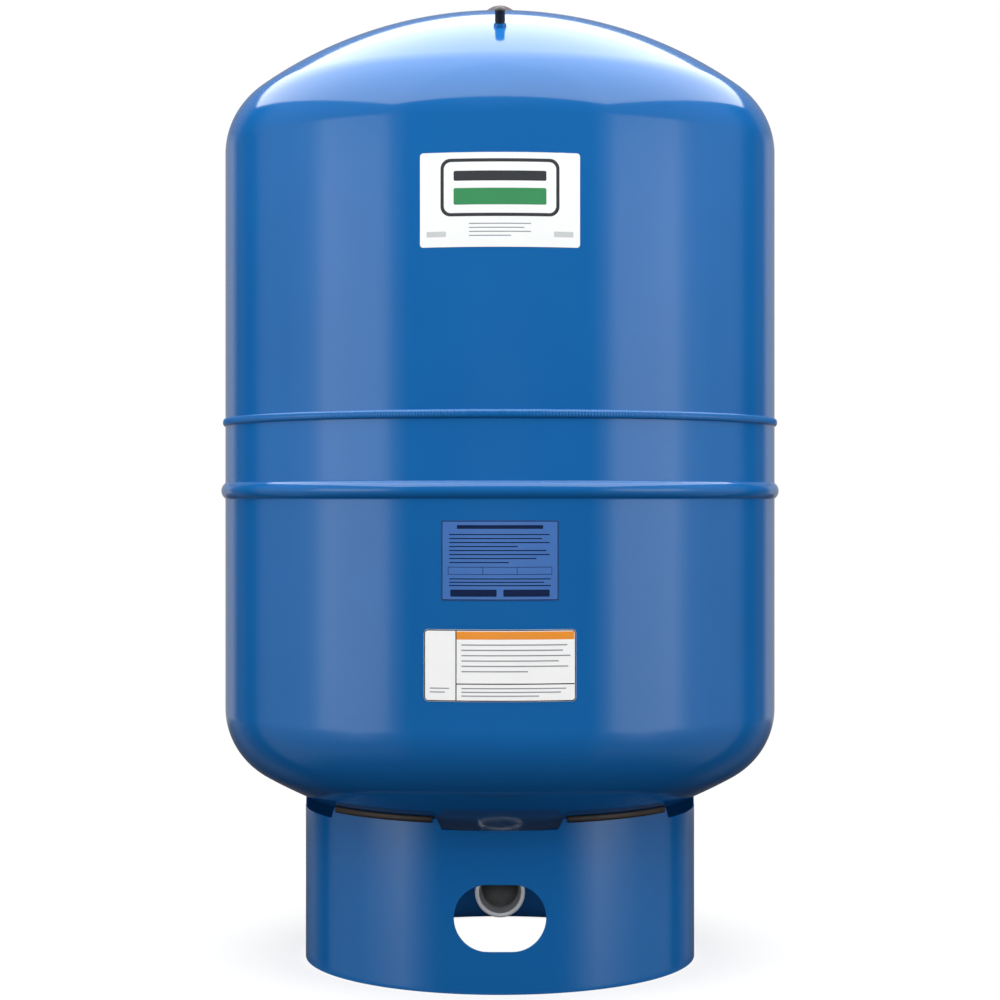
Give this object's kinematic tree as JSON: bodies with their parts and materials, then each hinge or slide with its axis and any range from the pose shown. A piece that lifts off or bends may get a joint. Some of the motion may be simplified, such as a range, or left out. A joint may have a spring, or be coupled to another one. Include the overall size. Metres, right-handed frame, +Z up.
{
  "type": "well pressure tank",
  "caption": "Upright painted steel pressure vessel with a diaphragm inside, an air valve on its dome, a threaded water inlet below, and a notched ring stand.",
  "frame": {"origin": "centre of the stand's foot, on the floor", "axes": "+Z up along the vessel's axis; -Y is the front, where the inlet's mouth and the labels face; +X is to the right seen from the front"},
  "size_m": [0.567, 0.567, 0.97],
  "materials": {
    "blue_paint": "glossy powder coat on steel",
    "bare_steel": "plain rolled steel",
    "stainless": "blasted stainless casting",
    "spring_steel": "drawn spring wire",
    "brass": "turned brass",
    "seal_rubber": "moulded sealing rubber",
    "butyl": "moulded butyl sheet",
    "trim_rubber": "extruded edge rubber",
    "liner_plastic": "moulded polypropylene",
    "core_plastic": "turned sealing plastic",
    "cap_plastic": "moulded black plastic",
    "plug_plastic": "moulded dark plastic",
    "label_white": "printed white film",
    "label_blue": "clear blue printed film"
  },
  "bodies": {
    "tank": {"upper_shell": "blue_paint", "lower_shell": "blue_paint", "girth_weld": "blue_paint", "top_boss": "blue_paint", "top_plug": "plug_plastic", "chamber_liner": "liner_plastic", "diaphragm": "butyl", "retaining_hoop": "bare_steel", "inlet_spud": "stainless", "inlet_o_ring": "seal_rubber", "spud_weld": "stainless", "inlet_elbow": "stainless", "diffuser": "liner_plastic", "stand": "blue_paint", "stand_seam_weld": "blue_paint", "front_label": "label_white", "data_label": "label_blue", "lower_label": "label_white", "edge_trim_1": "trim_rubber", "edge_trim_2": "trim_rubber", "edge_trim_3": "trim_rubber", "edge_trim_4": "trim_rubber", "edge_trim_5": "trim_rubber", "air_valve_spud": "blue_paint", "air_valve_stem": "brass", "valve_core_barrel": "brass", "valve_core_seal": "core_plastic", "valve_core_spring": "spring_steel"},
    "cap_seal_carrier": {"cap_seal": "seal_rubber"},
    "valve_cap": {"air_valve_cap": "cap_plastic"},
    "core_pin": {"valve_core_pin": "brass", "valve_core_washer": "seal_rubber"}
  },
  "joints": [
    {"name": "cap_turn", "type": "hinge", "parent": "cap_seal_carrier", "child": "valve_cap", "pos_m": [0, -0.20059, 0.91832], "axis": [0, -0.4661, 0.8848], "range_deg": [0, 1440]},
    {"name": "cap_rise", "type": "slide", "parent": "tank", "child": "cap_seal_carrier", "axis": [0, -0.4661, 0.8848], "range_m": [0, 0.00317]},
    {"name": "pin_press", "type": "slide", "parent": "tank", "child": "core_pin", "axis": [0, 0.4661, -0.8848], "range_m": [0, 0.0012], "stiffness_N_per_m": 600, "springref_m": -0.0001, "deforming": ["valve_core_spring"]}
  ],
  "couplings": [
    {"joint": "cap_turn", "follows": "cap_rise", "rad_per_m": 7915.8}
  ]
}
